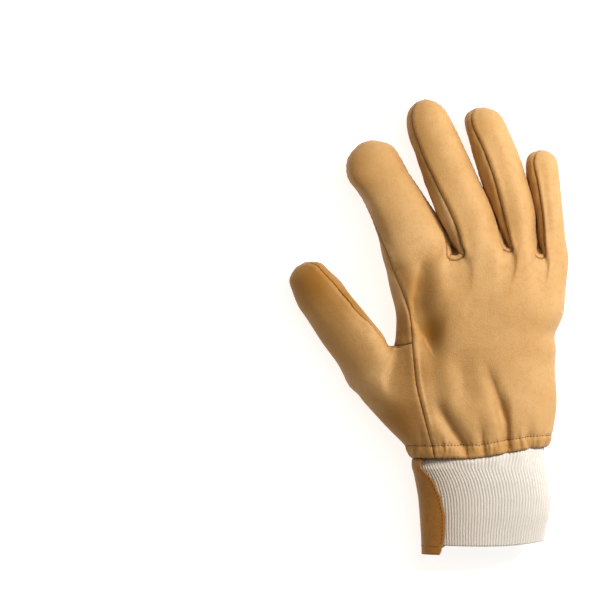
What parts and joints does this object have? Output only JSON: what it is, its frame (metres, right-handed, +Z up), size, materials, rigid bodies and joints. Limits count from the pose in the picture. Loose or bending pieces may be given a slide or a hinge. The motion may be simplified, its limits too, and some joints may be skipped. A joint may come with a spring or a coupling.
{
  "type": "lined leather glove",
  "caption": "Lined leather work glove for the right hand, palm down, with a set-in thumb, a leather wrist guard and a ribbed knit cuff.",
  "frame": {"origin": "middle of the glove's outline in plan, on the surface that it lies on", "axes": "+Y towards the finger tips, +X towards the little finger, +Z up from the palm side to the back of the hand"},
  "size_m": [0.1698, 0.2776, 0.0522],
  "materials": {
    "leather": "soft grain leather, light tan",
    "guard_leather": "soft grain leather, light tan, seen in shade",
    "knit": "off-white one-by-one ribbed knit",
    "lining": "brushed fleece, off-white"
  },
  "bodies": {
    "root": {"back_panel": "leather", "palm_panel": "leather", "finger_front_middle": "leather", "finger_front_ring": "leather", "fourchette_index_middle": "leather", "fourchette_middle_ring": "leather", "fourchette_ring_little": "leather", "thumb_back": "leather", "thumb_front": "leather", "wrist_guard": "guard_leather", "knit_cuff": "knit", "lining_edge": "lining"}
  },
  "joints": []
}
